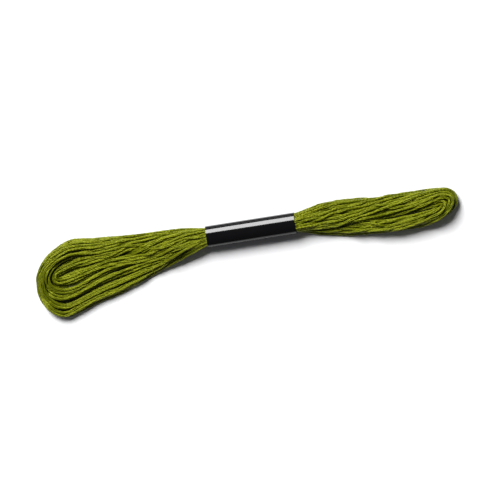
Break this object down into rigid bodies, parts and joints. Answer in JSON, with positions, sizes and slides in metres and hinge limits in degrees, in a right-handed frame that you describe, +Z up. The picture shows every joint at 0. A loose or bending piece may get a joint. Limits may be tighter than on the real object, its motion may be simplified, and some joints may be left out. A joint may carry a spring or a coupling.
{
  "type": "skein of embroidery floss",
  "caption": "Skein of stranded cotton embroidery floss lying flat, its wound turns gripped at the waist by a plain paper sleeve, with a wide loop and a narrow loop at its ends.",
  "frame": {"origin": "on the surface the skein rests on, under the middle of its bounding box", "axes": "+X along the band towards the narrow loop, +Y away from the side to which the wide loop droops, +Z up from the surface"},
  "size_m": [0.155, 0.0272, 0.0069],
  "materials": {
    "floss": "silky mercerised cotton",
    "band": "coated black paper"
  },
  "bodies": {
    "root": {"floss_hank": "floss", "paper_band": "band"}
  },
  "joints": []
}
